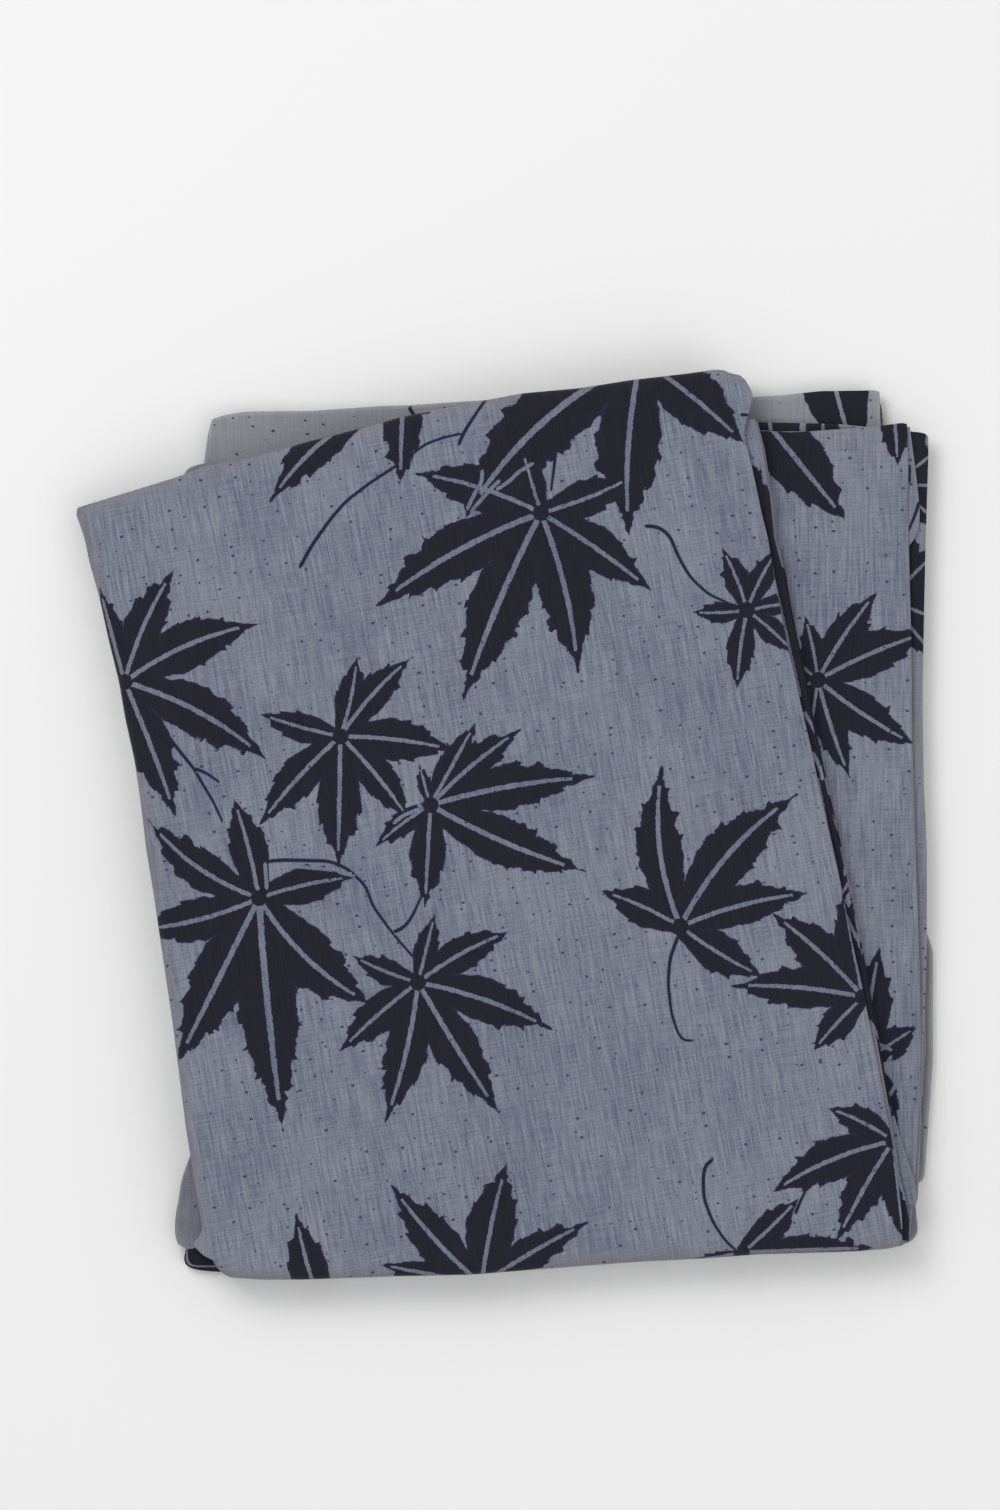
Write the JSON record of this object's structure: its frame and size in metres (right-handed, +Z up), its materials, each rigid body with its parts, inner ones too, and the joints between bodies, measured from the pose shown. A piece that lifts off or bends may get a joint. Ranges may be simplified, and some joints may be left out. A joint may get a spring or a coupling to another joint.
{
  "type": "folded cotton yukata robe",
  "caption": "Cotton yukata robe with an indigo maple leaf print, folded in four and lying flat, the upper half turned askew over the lower half.",
  "frame": {"origin": "on the table, under the middle of the folded robe's box", "axes": "+Z up from the table, +Y towards the back folds at the top of the picture, +X towards the open edges at the right of the picture"},
  "size_m": [0.3846, 0.4081, 0.027],
  "materials": {
    "printed_cotton": "matt slubbed cotton, grey blue with dark indigo maple leaves",
    "printed_cotton_dark": "matt slubbed cotton, a part of the print that is mostly dark indigo"
  },
  "bodies": {
    "root": {"back_left_panel": "printed_cotton", "back_left_panel_under": "printed_cotton_dark", "back_right_panel": "printed_cotton", "collar": "printed_cotton", "front_left_panel": "printed_cotton", "front_right_panel": "printed_cotton", "hidden_layers": "printed_cotton", "overlap_left_panel": "printed_cotton", "overlap_right_panel": "printed_cotton", "sleeve_left": "printed_cotton", "sleeve_right": "printed_cotton"}
  },
  "joints": []
}
